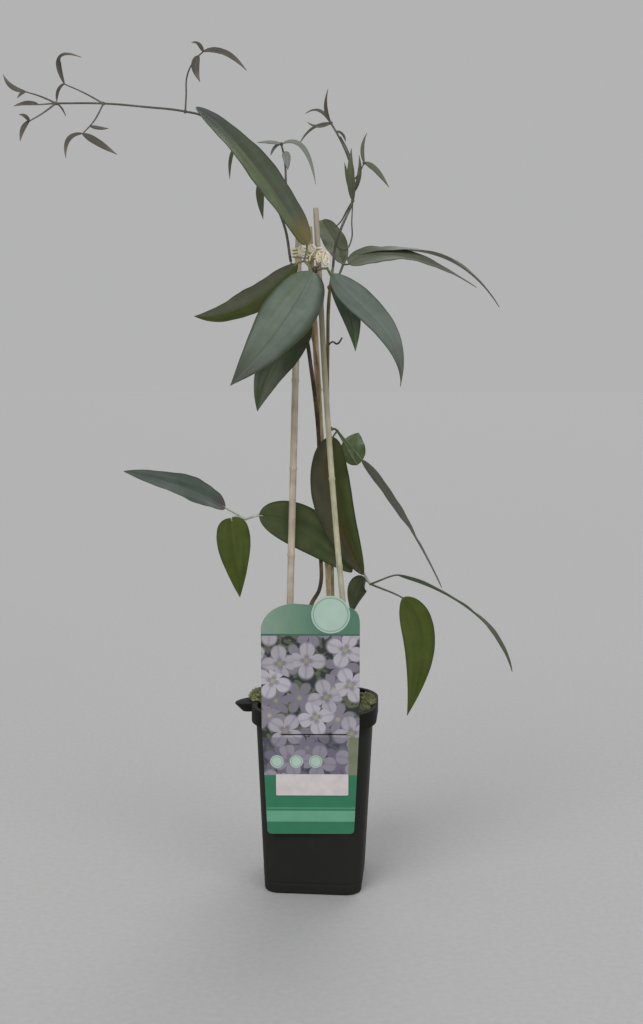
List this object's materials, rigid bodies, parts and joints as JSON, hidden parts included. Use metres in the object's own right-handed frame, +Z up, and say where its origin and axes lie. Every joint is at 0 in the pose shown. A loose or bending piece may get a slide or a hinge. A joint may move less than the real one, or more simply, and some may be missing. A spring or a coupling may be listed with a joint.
{
  "type": "potted climbing plant",
  "caption": "Evergreen clematis climbing a tripod of tied bamboo canes, with long leathery leaves in threes and young shoots, in a square black pot with a hanging label",
  "frame": {"origin": "Centre of the pot's flat base, on the surface it stands on", "axes": "+Z up, -Y towards the pot's front, where the label hangs, +X to the right as seen from the front"},
  "size_m": [0.5045, 0.1937, 0.8374],
  "materials": {
    "pot_plastic": "thin black moulded plastic, slightly sheeny",
    "soil": "matt crumbly potting soil with moss",
    "bamboo": "dry pale bamboo, satin",
    "twine": "cream twine",
    "woody_stem": "brown fibrous bark",
    "leaf_glaucous": "leathery leaf with a dull grey-green sheen",
    "leaf_olive": "leathery olive-green leaf",
    "young_shoot": "soft bronze-green young growth",
    "label_card": "printed plastic card",
    "sticker_paper": "pale paper sticker"
  },
  "bodies": {
    "root": {"pot": "pot_plastic", "soil": "soil", "cane_left": "bamboo", "cane_right": "bamboo", "cane_back": "bamboo", "cane_tie": "twine", "stem_main": "woody_stem", "stem_second": "woody_stem", "leaf_upper_left": "leaf_glaucous", "leaf_upper_low": "leaf_glaucous", "leaf_upper_right": "leaf_glaucous", "leaf_upper_back": "leaf_glaucous", "leaf_middle_left": "leaf_olive", "leaf_middle_right": "leaf_olive", "leaf_lower_right": "leaf_olive", "shoot_left": "young_shoot", "shoot_young": "young_shoot", "shoot_right": "young_shoot", "plant_label": "label_card", "label_sticker": "sticker_paper"}
  },
  "joints": []
}
